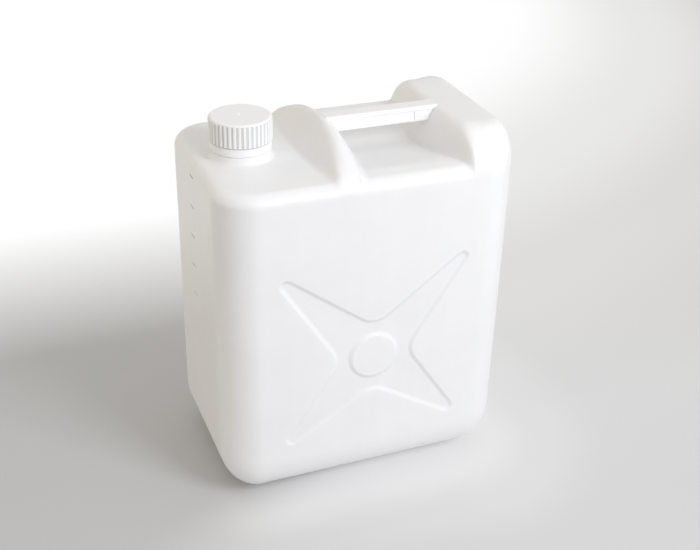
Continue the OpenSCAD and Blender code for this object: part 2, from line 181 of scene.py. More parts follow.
def plan_inset(x, y):
    """Distance inside the plan's outline, a rectangle with round corners."""
    past_x = np.abs(x) - WIDTH / 2 + CORNER_R
    past_y = np.abs(y) - DEPTH / 2 + CORNER_R
    in_corner = CORNER_R - np.hypot(past_x, past_y)
    beside = np.minimum(WIDTH / 2 - np.abs(x), DEPTH / 2 - np.abs(y))
    return np.where((past_x > 0) & (past_y > 0), in_corner, beside)


def side_share(x, y):
    """Nothing along the broad sides, one along the narrow sides, and between them in the corners."""
    past_x = np.maximum(np.abs(x) - WIDTH / 2 + CORNER_R, 0)
    past_y = np.maximum(np.abs(y) - DEPTH / 2 + CORNER_R, 0)
    share = past_x * past_x / np.maximum(past_x * past_x + past_y * past_y, 1e-9)
    return np.where(past_x <= 0, 0.0, np.where(past_y <= 0, 1.0, share))


def hump_foot(y):
    """The hump's left foot line, bowed along Y."""
    return HUMP_LEFT + HUMP_BOW * (2 * y / DEPTH) ** 2


def hump_top(x, y, wall):
    """Arched hump: a turned form on the right, cut by the plane of its left slope."""
    slope = (HUMP_RIGHT - x) * HUMP_SLOPE_RIGHT - wall * math.hypot(1, HUMP_SLOPE_RIGHT)
    r = ARCH_R - RISE + smooth_min(slope, RISE - wall, HUMP_BLEND)
    turned = np.where(r > np.abs(y), ARCH_Z + np.sqrt(np.maximum(r * r - y * y, 0)), 0)
    left = DECK + (x - hump_foot(y)) * HUMP_SLOPE_LEFT - wall * math.hypot(1, HUMP_SLOPE_LEFT)
    return smooth_min(turned, left, HUMP_LEFT_BLEND)


def shoulder_run(t):
    """Run over rise of the shoulder's face, steeper towards the broad sides."""
    return SHOULDER_LEAN_END + (SHOULDER_LEAN - SHOULDER_LEAN_END) * (1 - t) ** LEAN_POWER


def shoulder_top(x, y, wall):
    """Leaning face, rounded crest and flat top of the shoulder."""
    t = np.minimum(1, (2 * y / DEPTH) ** 2)
    run = shoulder_run(t)
    crest = SHOULDER_LEFT + SHOULDER_SWING * t
    lean = np.arctan(1 / run)
    r = CREST_ROUND - wall
    before = crest + CREST_ROUND * np.tan(lean / 2) - x
    arc = TOP - CREST_ROUND + np.sqrt(np.maximum(r * r - before * before, 0))
    face = TOP + (x - crest) / run - wall * np.hypot(1, 1 / run)
    return np.where(before < 0, TOP - wall, np.where(before < r * np.sin(lean), arc, face))


def floor_top(x, y, wall):
    """The deck, with the bay's dip to the right of the hump."""
    t = np.minimum(1, (y / BAY_HALF) ** 2)
    return DECK - wall - np.where(x > HUMP_MIDDLE, BAY_DIP, 0) * (1 - t) ** BAY_POWER


def crown(x, y, wall):
    """Deck, bay, hump and shoulder as one surface, without the body's outer edge."""
    blend = np.where(x < LEFT_FOOT_END, HUMP_LEFT_FOOT_BLEND, HUMP_FOOT_BLEND)
    ridge = smooth_max(floor_top(x, y, wall), hump_top(x, y, wall), blend)
    return smooth_max(ridge, shoulder_top(x, y, wall), FOOT_BLEND)


def edge_width(x, y):
    """Width of the rounded edge round the top, which grows with the shoulder."""
    side = side_share(x, y)
    wide = side * SHOULDER_SIDE_ROUND + (1 - side) * SHOULDER_ROUND
    return EDGE_R + (wide - EDGE_R) * np.clip((shoulder_top(x, y, 0) - DECK) / RISE, 0, 1)


def top_height(x, y, wall):
    """The whole upper side: the crown, rounded down to the walls along its edge."""
    u = np.clip((plan_inset(x, y) - wall) / (edge_width(x, y) - wall), 0, 1)
    return SPRING + (crown(x, y, wall) - SPRING) * np.sqrt(np.maximum(0, 1 - (1 - u) ** 2))


def base_height(x, y, wall):
    """The base, pushed up inside its standing ring."""
    t = np.clip((plan_inset(x, y) - HEEL_R - BASE_RING) / BASE_RAMP, 0, 1)
    return wall + BASE_PUSH * ease(t)


def still(x):
    """A place where sections stand straight."""
    return x, x


def flow_x(x, y):
    """Bends the section at x so that it follows the feet and crests of the hump and the shoulder."""
    out = np.empty_like(y)
    floors = floor_top(np.full_like(y, SHOULDER_LEFT), y, 0)
    for i, v in enumerate(y):
        grow = math.hypot(DECK - ARCH_Z, v) - (DECK - ARCH_Z)
        t = min(1, (2 * v / DEPTH) ** 2)
        foot = hump_foot(v)
        low = HUMP_RIGHT - grow / HUMP_SLOPE_RIGHT
        edge = min(HUMP_EDGE, low - SLOPE_LEAST_RIGHT)
        slope = max(SLOPE_LEAST_LEFT, (RISE - grow) / HUMP_SLOPE_LEFT)
        high = min(foot + slope, edge - CREST_LEAST)
        crest = SHOULDER_LEFT + SHOULDER_SWING * t
        shoulder_foot = crest - shoulder_run(t) * (TOP - floors[i])
        bends = (
            still(-WIDTH / 2),
            still(HUMP_LEFT - HUMP_FAR_LEFT),
            (HUMP_LEFT - HUMP_NEAR_LEFT, foot - HUMP_NEAR_LEFT),
            (HUMP_LEFT, foot),
            (HUMP_CREST, high),
            (HUMP_EDGE, edge),
            (HUMP_RIGHT, low),
            (HUMP_RIGHT + HUMP_NEAR_RIGHT, low + HUMP_NEAR_RIGHT),
            still(HUMP_RIGHT + HUMP_FAR_RIGHT),
            still(SHOULDER_FOOT - SHOULDER_FAR_LEFT),
            (SHOULDER_FOOT - SHOULDER_NEAR_LEFT, shoulder_foot - SHOULDER_NEAR_LEFT),
            (SHOULDER_FOOT, shoulder_foot),
            (SHOULDER_LEFT, crest),
            (SHOULDER_LEFT + SHOULDER_NEAR_RIGHT, crest + SHOULDER_NEAR_RIGHT),
            still(SHOULDER_LEFT + SHOULDER_FAR_RIGHT),
            still(WIDTH / 2),
        )
        out[i] = np.interp(x, *zip(*bends))
    return out


def side_y(inset, end, half, corner):
    """Half depth at a height where the skin lies inset from its side, end away from the narrow side."""
    if end < corner:
        return half - corner + np.sqrt(np.maximum(0, (corner - inset) ** 2 - (corner - end) ** 2))
    return half - inset


def section(x, wall, points):
    """One closed loop of points across the body."""
    end = max(END_HALF, WIDTH / 2 - wall - abs(x))
    half, corner, heel = DEPTH / 2 - wall, CORNER_R - wall, HEEL_R - wall
    at_side = flow_x(x, np.array([half]))
    edge = float(edge_width(at_side, np.array([half - corner / 2]))[0]) - wall
    heel_turn = math.acos(1 - min(end, heel) / heel) * np.arange(points.heel + 1) / points.heel
    edge_turn = math.acos(1 - min(end, edge) / edge) * np.arange(points.edge + 1) / points.edge
    heel_y = side_y(heel * (1 - np.cos(heel_turn)), end, half, corner)
    heel_z = wall + heel * (1 - np.sin(heel_turn))
    edge_y = side_y(edge * (1 - np.cos(edge_turn)), end, half, corner)
    ring = DEPTH / 2 - HEEL_R - BASE_RING - BASE_RAMP * np.arange(points.base + 1) / points.base
    under = np.concatenate([[-heel_y[-1]], -ring, [0], ring[::-1], [heel_y[-1]]])
    across = edge_y[-1] * (1 - 2 * np.arange(points.top + 1) / points.top)
    over = np.concatenate([edge_y[:-1], across, -edge_y[:-1][::-1]])
    under_x, over_x, heel_x = flow_x(x, under), flow_x(x, over), flow_x(x, heel_y)
    return np.concatenate([
        np.column_stack([under_x, under, heel_z[-1] - wall + base_height(under_x, under, wall)]),
        np.column_stack([heel_x[:-1], heel_y[:-1], heel_z[:-1]])[::-1],
        np.column_stack([over_x, over, top_height(over_x, over, wall)]),
        np.column_stack([heel_x[:-1], -heel_y[:-1], heel_z[:-1]]),
    ])


def stations(wall, points):
    """Places of the sections: round at both ends, fine at hump and shoulder, coarse between."""
    edge = WIDTH / 2 - wall
    out = (HEEL_R - wall) * (1 - np.cos(np.pi / 2 * np.arange(1, points.ends + 1) / points.ends))
    left, right = -edge + out, edge - out[::-1]
    hump = np.arange(HUMP_LEFT - FINE_PAST_HUMP[0], HUMP_RIGHT + FINE_PAST_HUMP[1], points.fine)
    shoulder = np.arange(SHOULDER_FOOT - FINE_PAST_SHOULDER[0], SHOULDER_LEFT + FINE_PAST_SHOULDER[1],
                         points.fine)
    deck = np.arange(left[-1] + points.coarse, hump[0] - points.coarse / 2, points.coarse)
    bay = np.arange(hump[-1] + points.coarse, shoulder[0] - points.coarse / 2, points.coarse)
    right = right[right > shoulder[-1] + points.fine / 2]
    return np.concatenate([[-edge], left, deck, hump, bay, shoulder, right, [edge]])


# Meshes from points in millimetres


def new_object(name, points, faces):
    """Adds an object to the scene and turns its points into metres."""
    mesh = bpy.data.meshes.new(name)
    mesh.from_pydata([tuple(p) for p in np.asarray(points) * MM], [], faces)
    mesh.validate()
    obj = bpy.data.objects.new(name, mesh)
    bpy.context.scene.collection.objects.link(obj)
    return obj


def band_faces(i, k, n, count):
    """The first count quads between ring i and ring k, which have n points each."""
    return [(i * n + j, k * n + j, k * n + (j + 1) % n, i * n + (j + 1) % n) for j in range(count)]


def loft(name, sections):
    """Solid through closed sections, with a fan of triangles at both ends."""
    n, m = len(sections[0]), len(sections)
    middles = [[np.mean(sections[0], axis=0)], [np.mean(sections[-1], axis=0)]]
    faces = [face for i in range(m - 1) for face in band_faces(i, i + 1, n, n)]
    last = (m - 1) * n
    faces += [(j, (j + 1) % n, m * n) for j in range(n)]
    faces += [(last + j, m * n + 1, last + (j + 1) % n) for j in range(n)]
    return new_object(name, np.concatenate(sections + middles), faces)


def outward(obj):
    """Turns all faces outwards."""
    bm = bmesh.new()
    bm.from_mesh(obj.data)
    bmesh.ops.recalc_face_normals(bm, faces=bm.faces)
    bm.to_mesh(obj.data)
    bm.free()
    return obj


def skin(name, wall, points):
    """The body's closed form, wall inside its outer skin."""
    return outward(loft(name, [section(x, wall, points) for x in stations(wall, points)]))


def revolve(name, profile, x, steps=TURN_STEPS, closed=True):
    """Turns (r, z) pairs round the upright axis at x. A closed profile gives a ring, an open one a
    solid on the axis."""
    n = len(profile)
    points = [(x + r * math.cos(t), r * math.sin(t), z)
              for t in np.linspace(0, 2 * np.pi, steps, endpoint=False) for r, z in profile]
    count = n if closed else n - 1
    faces = [face for i in range(steps) for face in band_faces(i, (i + 1) % steps, n, count)]
    if not closed:
        faces += [tuple(i * n for i in range(steps))[::-1], tuple(i * n + n - 1 for i in range(steps))]
    return outward(new_object(name, points, faces))


def block(name, low, high):
    """Box between two opposite corners."""
    corners = [(x, y, z) for x in (low[0], high[0]) for y in (low[1], high[1]) for z in (low[2], high[2])]
    faces = [(0, 1, 3, 2), (4, 6, 7, 5), (0, 4, 5, 1), (2, 3, 7, 6), (0, 2, 6, 4), (1, 5, 7, 3)]
    return outward(new_object(name, corners, faces))


def apply_modifiers(obj):
    """Replaces the mesh by what its modifiers make of it."""
    bpy.context.view_layer.update()
    mesh = bpy.data.meshes.new_from_object(obj.evaluated_get(bpy.context.evaluated_depsgraph_get()))
    obj.modifiers.clear()
    obj.data = mesh


def boolean(obj, other, operation):
    """Joins the other solid to obj or cuts it out of obj, and removes it."""
    mod = obj.modifiers.new("boolean", "BOOLEAN")
    mod.operation, mod.object, mod.solver = operation, other, "MANIFOLD"
    apply_modifiers(obj)
    bpy.data.objects.remove(other)


def cut(obj, other):
    boolean(obj, other, "DIFFERENCE")


def join(obj, other):
    boolean(obj, other, "UNION")


def smooth(obj, angle):
    """Smooth shading that keeps edges over the angle sharp."""
    obj.data.shade_smooth()
    obj.data.set_sharp_from_angle(angle=math.radians(angle))


def weigh_normals(obj):
    """Keeps flat faces flat beside round ones."""
    obj.modifiers.new("weighted", "WEIGHTED_NORMAL").keep_sharp = True


# Star recess


def fillet(before, corner, after, r, steps, grow):
    """Arc of radius r that rounds a corner of an outline, moved out by grow."""
    before, corner, after = (np.array(p, float) for p in (before, corner, after))
    u = (before - corner) / np.linalg.norm(before - corner)
    v = (after - corner) / np.linalg.norm(after - corner)
    half = math.acos(u @ v) / 2
    centre = corner + (u + v) / np.linalg.norm(u + v) * r / math.sin(half)
    start = corner + u * r / math.tan(half) - centre
    stop = corner + v * r / math.tan(half) - centre
    side = math.copysign(1, start[0] * stop[1] - start[1] * stop[0])
    turn = math.acos(start @ stop / (r * r)) * side
    share = (r - side * grow) / r
    return [centre + share * np.array([start[0] * math.cos(t) - start[1] * math.sin(t),
                                       start[0] * math.sin(t) + start[1] * math.cos(t)])
            for t in (turn * k / steps for k in range(steps + 1))]


def star_outline(steps, grow):
    """The star's outline as (x, z) round its middle, moved out by grow."""
    (up_x, up_z), (down_x, down_z) = STAR_TIP_UP, STAR_TIP_DOWN
    side_x, side_z = STAR_NOTCH_SIDE
    corners = [((0, STAR_NOTCH_UP), NOTCH_R), ((up_x, up_z), TIP_R),
               ((side_x, side_z), NOTCH_R), ((down_x, -down_z), TIP_R),
               ((0, -STAR_NOTCH_DOWN), NOTCH_R), ((-down_x, -down_z), TIP_R),
               ((-side_x, side_z), NOTCH_R), ((-up_x, up_z), TIP_R)]
    after = corners[1:] + corners[:1]
    return [p for i, (corner, r) in enumerate(corners)
            for p in fillet(corners[i - 1][0], corner, after[i][0], r, steps, grow)]


def star_cutter(name, panel_y, grow=0.0, steps=STAR_STEPS):
    """Solid that sinks the star into the panel at y = panel_y, with soft slopes. The boss stays."""
    facing = -1 if panel_y < 0 else 1
    outer = (STAR_SOFT - STAR_DRAFT) / 2
    slope = [(k / steps, 0.5 - 0.5 * math.cos(math.pi * k / steps)) for k in range(steps + 1)]

    def depth_at(share):
        return panel_y - facing * share * STAR_DEPTH

    def outline(out):
        return star_outline(steps + STAR_ARC_MORE, out)

    rings = [(grow + outer + CUTTER_OUT, -CUTTER_OFF)]
    rings += [(grow + outer - STAR_SOFT * t, share) for t, share in slope]
    sections = [np.array([[x, depth_at(share), STAR_Z + z] for x, z in outline(out)])
                for out, share in rings]
    star = loft(name, sections if facing < 0 else [s[::-1] for s in sections])

    rim = BOSS_R - grow - outer
    profile = [(rim - CUTTER_OUT, -CUTTER_OFF)]
    profile += [(rim + STAR_SOFT * t, share) for t, share in slope]
    profile += [(rim + STAR_SOFT, BOSS_END)]
    turns = np.linspace(0, 2 * np.pi, BOSS_STEPS, endpoint=False)[:: -facing]
    cut(star, loft(name + "_boss", [
        np.array([[r * math.cos(t), depth_at(share), STAR_Z + r * math.sin(t)] for t in turns])
        for r, share in profile]))
    return outward(star)


# Neck


def rounded(r, z, size, middle):
    """Upper outer edge of a profile at (r, z), rounded by size through a point middle in from it."""
    return [(r, z - size), (r - middle, z - middle), (r - size, z)]


def neck_wall():
    """Flare, collar, bead and neck, from the underside of the deck to the lip."""
    collar, bead, lip = WALL + COLLAR_H, WALL + COLLAR_H + BEAD_Z, WALL + NECK_H
    inner = BORE_R - BORE_SPARE
    flare = [(COLLAR_R + out, WALL + up) for out, up in NECK_FLARE]
    profile = [(inner, 0), (flare[0][0], 0), *flare,
               *rounded(COLLAR_R, collar, COLLAR_ROUND, COLLAR_ROUND_MIDDLE), (NECK_R, collar),
               (NECK_R, bead), (BEAD_R, bead + BEAD_LOW),
               (BEAD_R, bead + BEAD_HIGH), (NECK_R, bead + BEAD_END),
               *rounded(NECK_R, lip, LIP_ROUND, LIP_ROUND_MIDDLE), (inner, lip)]
    return revolve("neck", [(r, DECK - WALL + z) for r, z in profile], NECK_X)


def neck_bore():
    """Solid of the bore, from inside the body to above the lip, with a lead at the lip."""
    low, high = DECK - WALL - BORE_BELOW, LIP + BORE_SPARE
    profile = [(AXIS_R, low), (BORE_R, low), (BORE_R, LIP - BORE_LEAD),
               (BORE_R + BORE_LEAD, LIP), (BORE_R + BORE_LEAD, high), (AXIS_R, high)]
    return revolve("bore", profile, NECK_X, closed=False)


def helix(name, root, crest, thread):
    """Ridge of a right-handed thread round the neck's axis, tapering to nothing at both ends."""
    steps = int(thread.turns * THREAD_STEPS)
    sunk = root - math.copysign(THREAD_SUNK, crest - root)
    foot, flat = thread.width * THREAD_FOOT, thread.width * THREAD_CREST
    points = []
    for i in range(steps + 1):
        turn = 2 * math.pi * thread.turns * i / steps
        fade = min(1, i / THREAD_TAPER, (steps - i) / THREAD_TAPER)
        here = root + (crest - root) * max(fade, THREAD_LEAST)
        z = LIP - thread.below + THREAD_PITCH * turn / (2 * math.pi)
        ring = ((sunk, -foot), (root, -foot), (here, -flat), (here, flat), (root, foot), (sunk, foot))
        points += [(NECK_X + r * math.cos(turn), r * math.sin(turn), z + up) for r, up in ring]
    n = len(ring)
    faces = [face for i in range(steps) for face in band_faces(i, i + 1, n, n)]
    faces += [tuple(range(n)), tuple(steps * n + j for j in range(n))]
    obj = outward(new_object(name, points, faces))
    smooth(obj, SHARP_THREAD)
    weigh_normals(obj)
    return obj


# Seats of the handle


def grip_seat(grow, up=0.0):
    """The handle's bar as a plain solid, bigger by grow all round. Its ends lie along both slopes."""
    wide, narrow = GRIP_D / 2 + grow, GRIP_D / 2 - FLANGE_STEP + grow
    edge, foot = GRIP_EDGE + grow, GRIP_FOOT + grow
    side = [(wide - edge + edge * math.sin(t), grow + up - edge + edge * math.cos(t))
            for t in np.linspace(0, math.pi / 2, EDGE_POINTS)]
    side += [(wide, -FLANGE_H + FLANGE_SLOPE - grow / 2), (narrow, -FLANGE_H - grow / 2)]
    side += [(narrow - foot + foot * math.cos(t), -GRIP_H - grow + foot - foot * math.sin(t))
             for t in np.linspace(0, math.pi / 2, FOOT_POINTS)]
    outline = side + [(-y, z) for y, z in side[::-1]]
    left, right = HUMP_EDGE - SEAT_L - grow, SHOULDER_LEFT + SEAT_L + grow
    ends = [np.array([[left - z / HUMP_SLOPE_RIGHT, y, TOP + z] for y, z in outline]),
            np.array([[right + z * SHOULDER_LEAN, y, TOP + z] for y, z in outline])]
    return outward(loft("seat", ends))


def saddle():
    """Blends the hump's crest up to the handle's top where its end is let in."""
    y = np.linspace(-SADDLE_HALF, SADDLE_HALF, SADDLE_POINTS)
    aside = ease(np.clip((np.abs(y) - GRIP_D / 2 - SADDLE_FLAT) / SADDLE_RISE, 0, 1))
    low = TOP - SADDLE_DEEP
    sections = []
    for x in np.linspace(HUMP_EDGE - SADDLE_REACH, HUMP_EDGE - SADDLE_END, SADDLE_SECTIONS):
        here = crown(np.full_like(y, x), y, 0)
        rise = np.clip((x - HUMP_EDGE + SADDLE_START) / SADDLE_RISE, 0, 1)
        fall = np.clip((x - HUMP_EDGE + SEAT_L) / SADDLE_FALL, 0, 1)
        lift = np.maximum(TOP - y * y / (2 * ARCH_R) - here, 0) * (1 - aside) * (rise * (1 - fall))
        top = [[x, v, z] for v, z in zip(y, here + lift - SADDLE_SINK)]
        sections.append(np.array(top + [[x, SADDLE_HALF, low], [x, -SADDLE_HALF, low]]))
    return outward(loft("saddle", sections))


# Fill marks


def fill_mark(name, k, front, back):
    """Bar on the narrow side at the k-th mark from the top, between two depths into the wall."""
    z = MARK_TOP - k * MARK_PITCH
    return block(name, (-WIDTH / 2 + front, MARK_FROM[k], z - MARK_HEIGHT / 2),
                 (-WIDTH / 2 + back, MARK_FROM[k] + MARK_LENGTH, z + MARK_HEIGHT / 2))


# Pieces


def build_body():
    """The hollow body with star recesses, saddle, seats, neck, bore and grooves for the marks."""
    body = skin("can_body", 0, FINE_SKIN)
    cavity = skin("cavity", WALL, CAVITY_SKIN)
    cut(cavity, grip_seat(SEAT_GAP + WALL, SEAT_ROOM))
    for side in (-1, 1):
        cut(cavity, star_cutter("inner_star", side * (DEPTH / 2 - WALL), WALL, INNER_STAR_STEPS))
        cut(body, star_cutter("star", side * DEPTH / 2))
    join(body, saddle())
    cut(body, grip_seat(SEAT_GAP))
    cut(body, cavity)
    join(body, neck_wall())
    cut(body, neck_bore())
    for k in range(len(MARK_FROM)):
        cut(body, fill_mark("groove", k, -MARK_CLEAR, MARK_DEPTH))
    smooth(body, SHARP_BODY)
    weigh_normals(body)
    return body


body = build_body()
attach(body, "can")
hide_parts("body")

neck_thread = helix("neck_thread", NECK_R, SKIRT_R - NECK_THREAD.gap, NECK_THREAD)
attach(neck_thread, "can")

cap_thread = helix("cap_thread", SKIRT_R, NECK_R + CAP_THREAD.gap, CAP_THREAD)
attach(cap_thread, "cap")

# Dark bars of painted shade in the fill marks' grooves
mark_shadows = [fill_mark(f"mark_shadow_{k + 1}", k, MARK_DEPTH / 2, MARK_DEPTH + MARK_SINK)
              for k in range(len(MARK_FROM))]
for mark in mark_shadows:
    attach(mark, "can")


# Shader helpers


def add_node(tree, kind, inputs, **settings):
    """Adds a shader node. Inputs are (socket, value or output to link) pairs. Returns its first
    live output."""
    made = tree.nodes.new("ShaderNode" + kind)
    for key, value in settings.items():
        setattr(made, key, value)
    for socket, value in inputs:
        if isinstance(value, bpy.types.NodeSocket):
            tree.links.new(value, made.inputs[socket])
        else:
            made.inputs[socket].default_value = value
    return next(output for output in made.outputs if output.enabled)


def math_node(tree, operation, *values):
    """Arithmetic on numbers or outputs."""
    return add_node(tree, "Math", list(enumerate(values)), operation=operation)


def vector_node(tree, operation, *values):
    """Arithmetic on vectors."""
    return add_node(tree, "VectorMath", list(enumerate(values)), operation=operation)


def scaled(tree, vector, factor):
    """A vector or colour times a number."""
    return add_node(tree, "VectorMath", [(0, vector), ("Scale", factor)], operation="SCALE")


def separate(tree, vector):
    """The three parts of a vector."""
    made = tree.nodes.new("ShaderNodeSeparateXYZ")
    tree.links.new(vector, made.inputs[0])
    return tuple(made.outputs)


def map_range(tree, value, span, low=0.0, high=1.0, kind="LINEAR"):
    """Low where the value is at the span's start or before, high at its end or after."""
    inputs = [("Value", value), ("From Min", span[0]), ("From Max", span[1]),
              ("To Min", low), ("To Max", high)]
    return add_node(tree, "MapRange", inputs, interpolation_type=kind)


def noise(tree, coords, scale, stretch=(1, 1, 1), detail=2.0):
    """Noise between nothing and one, drawn out along an axis where its stretch is less than one."""
    placed = add_node(tree, "Mapping", [("Vector", coords), ("Scale", stretch)])
    return add_node(tree, "TexNoise", [("Vector", placed), ("Scale", scale), ("Detail", detail)])


def ramp(tree, value, stops):
    """Colour ramp through (place, grey) stops."""
    made = tree.nodes.new("ShaderNodeValToRGB")
    made.color_ramp.interpolation = "EASE"
    while len(made.color_ramp.elements) < len(stops):
        made.color_ramp.elements.new(0.5)
    for element, (place, grey) in zip(made.color_ramp.elements, stops):
        element.position, element.color = place, (grey, grey, grey, 1)
    tree.links.new(value, made.inputs[0])
    return made.outputs[0]


def new_material(name):
    """A material, its node tree and its shader."""
    mat = bpy.data.materials.new(name)
    mat.use_nodes = True
    return mat, mat.node_tree, mat.node_tree.nodes["Principled BSDF"]


# Plastics. Noise scales are per metre

GRAIN_SCALE, WAVE_SCALE, MOTTLE_SCALE, STREAK_SCALE, GLOSS_SCALE = 700.0, 24.0, 30.0, 90.0, 45.0
STREAK_STRETCH = (1, 1, 0.03)
NOISE_SPAN = (0.3, 0.7)
MOTTLE_LOW, MOTTLE_HIGH = 0.985, 1.01
GLOSS_LOW, GLOSS_HIGH = -0.02, 0.05
PLASTIC_IOR, LIGHT_DEPTH_M = 1.5, 0.003

# Where the star's slopes get painted shade, and the normals' lean that shows them
SHADED_SLOPE_X, SHADED_SLOPE_Z, SHADED_SLOPE_Z_HALF, SHADED_SLOPE_LEAN = 95.0, 146.0, 104.0, (0.9, 0.99)

# The cap's side has normals that lean up less than this, and its grooves end at a share of the rib
CAP_SIDE_LEAN, GROOVE_SHARE = 0.3, 0.8

# Lines on the plastic: y, half width and height, which is negative for a groove
Line = namedtuple("Line", "y half rise")
PARTING_LINE = Line(y=0.0, half=0.5, rise=0.12)
HANDLE_LINES = (Line(y=-2.6, half=0.4, rise=-0.25), Line(y=2.6, half=0.4, rise=-0.25))


def line_at(tree, value, place, half):
    """One where the value equals the place, falling to nothing at half to both sides."""
    off = math_node(tree, "ABSOLUTE", math_node(tree, "SUBTRACT", value, place))
    return map_range(tree, off, (0.0, half), 1.0, 0.0, "SMOOTHSTEP")


def painted_slope_shade(tree, texture):
    """One on the star's slopes, where shade is painted into the colour."""
    x, _, z = separate(tree, texture.outputs["Object"])
    _, normal_y, _ = separate(tree, texture.outputs["Normal"])
    lean = map_range(tree, math_node(tree, "ABSOLUTE", normal_y), SHADED_SLOPE_LEAN, 1.0, 0.0)
    across = math_node(tree, "LESS_THAN", math_node(tree, "ABSOLUTE", x), SHADED_SLOPE_X * MM)
    off_z = math_node(tree, "ABSOLUTE", math_node(tree, "SUBTRACT", z, SHADED_SLOPE_Z * MM))
    up = math_node(tree, "LESS_THAN", off_z, SHADED_SLOPE_Z_HALF * MM)
    return math_node(tree, "MULTIPLY", lean, math_node(tree, "MULTIPLY", across, up))


def rib_grooves(tree, texture):
    """One between the grip ribs on the cap's side, where little light gets in."""
    x, y, _ = separate(tree, texture.outputs["Object"])
    _, _, normal_z = separate(tree, texture.outputs["Normal"])
    upright = math_node(tree, "LESS_THAN", math_node(tree, "ABSOLUTE", normal_z), CAP_SIDE_LEAN)
    off = math_node(tree, "SUBTRACT", x, NECK_X * MM)
    square = math_node(tree, "MULTIPLY_ADD", off, off, math_node(tree, "POWER", y, 2.0))
    span = (CAP_R * MM, (CAP_R + GROOVE_SHARE * RIB_H) * MM)
    deep = map_range(tree, math_node(tree, "SQRT", square), span, 1.0, 0.0)
    return math_node(tree, "MULTIPLY", deep, upright)


def plastic(name, colour, roughness, subsurface=0.0, grain=0.004, wave=0.0, streaks=0.0, lines=(),
            line_dark=0.0, slope_shade=0.0, grooves=0.0):
    """Moulded plastic. Grain, wave and lines are relief in millimetres. Streaks vary the colour
    along Z as a blown tube's wall does. Line_dark darkens the lines. Slope_shade paints shade on
    the star's slopes, and grooves paints shade between the cap's ribs."""
    mat, tree, shader = new_material(name)
    texture = tree.nodes.new("ShaderNodeTexCoord")
    coords = texture.outputs["Object"]

    height = math_node(tree, "MULTIPLY", noise(tree, coords, GRAIN_SCALE), grain)
    if wave:
        height = math_node(tree, "MULTIPLY_ADD", noise(tree, coords, WAVE_SCALE, detail=1.0), wave, height)

    mottled = noise(tree, coords, MOTTLE_SCALE, detail=3.0)
    tone = map_range(tree, mottled, NOISE_SPAN, MOTTLE_LOW, MOTTLE_HIGH)
    if streaks:
        streak = noise(tree, coords, STREAK_SCALE, stretch=STREAK_STRETCH)
        tone = math_node(tree, "MULTIPLY_ADD", math_node(tree, "SUBTRACT", streak, 0.5), streaks, tone)
    for line in lines:
        drawn = line_at(tree, separate(tree, coords)[1], line.y * MM, line.half * MM)
        height = math_node(tree, "MULTIPLY_ADD", drawn, line.rise, height)
        tone = math_node(tree, "MULTIPLY_ADD", drawn, -line_dark, tone)
    # Painted shade: the star's slopes are darker
    if slope_shade:
        tone = math_node(tree, "MULTIPLY_ADD", painted_slope_shade(tree, texture), -slope_shade, tone)
    # Painted shade between the cap's ribs
    if grooves:
        tone = math_node(tree, "MULTIPLY_ADD", rib_grooves(tree, texture), -grooves, tone)
    tree.links.new(scaled(tree, colour, tone), shader.inputs["Base Color"])

    gloss = map_range(tree, noise(tree, coords, GLOSS_SCALE, detail=4.0), NOISE_SPAN,
                      roughness + GLOSS_LOW, roughness + GLOSS_HIGH)
    tree.links.new(gloss, shader.inputs["Roughness"])
    bump = add_node(tree, "Bump", [("Strength", 1.0), ("Distance", MM), ("Height", height)])
    tree.links.new(bump, shader.inputs["Normal"])
    shader.inputs["IOR"].default_value = PLASTIC_IOR
    if subsurface:
        shader.inputs["Subsurface Weight"].default_value = subsurface
        shader.inputs["Subsurface Radius"].default_value = (1, 1, 1)
        shader.inputs["Subsurface Scale"].default_value = LIGHT_DEPTH_M
    return mat


# Body and neck: milky, with the mould's parting line and painted shade on the star's slopes
milky = plastic("milky polyethylene", (0.915, 0.915, 0.925), 0.305, subsurface=0.3, grain=0.006,
                wave=0.25, streaks=0.03, lines=(PARTING_LINE,), line_dark=0.04, slope_shade=0.02)

# Band and cap thread: plain white
WHITE = (0.955, 0.957, 0.96)
white = plastic("white polypropylene", WHITE, 0.31, subsurface=0.15)

# Cap: the same white, with painted shade between the ribs
ribbed = plastic("white ribbed cap", WHITE, 0.31, subsurface=0.15, grooves=0.24)

# Handle: a little greyer, with two fine grooves along it
bar = plastic("white handle plastic", (0.95, 0.952, 0.955), 0.31, subsurface=0.15, lines=HANDLE_LINES)

# Liner
foam = plastic("liner foam", (0.8, 0.8, 0.78), 0.8, grain=0.05)


def dress(obj, mat):
    """Gives the object one material."""
    obj.data.materials.clear()
    obj.data.materials.append(mat)


def soften(obj):
    """Smooth shading and small soft edges for a piece of the CAD."""
    smooth(obj, SHARP_CAD)
    bevel = obj.modifiers.new("soft edges", "BEVEL")
    bevel.width, bevel.segments = SOFT_EDGE * MM, SOFT_EDGE_STEPS
    bevel.limit_method, bevel.angle_limit = "ANGLE", math.radians(SHARP_CAD)
    weigh_normals(obj)


dress(body, milky)
dress(neck_thread, milky)
dress(cap_thread, white)
# Each bar's grey and warm tint are painted shade
for mark, shade in zip(mark_shadows, MARK_SHADOW_GREYS):
    dress(mark, plastic(mark.name, tuple(shade * tint for tint in MARK_SHADOW_TINT), MARK_ROUGHNESS))
for name, mat in (("handle", bar), ("screw_cap", ribbed), ("tamper_band", white), ("cap_liner", foam)):
    dress(nodes[name], mat)
    soften(nodes[name])


# Paper floor

FLOOR_HALF = 6000.0
PAPER_ROUGHNESS, PAPER_SHINE = 0.9, 0.1
PAPER_GRAIN_SCALE, PAPER_GRAIN_LOW, PAPER_GRAIN_HIGH = 12.0, 0.99, 1.01

# The paper's grey from left to right, darker to the left as painted shade
PAPER_SPAN_M, PAPER_LEFT, PAPER_RIGHT = (-0.2, 0.1), 0.58, 0.64

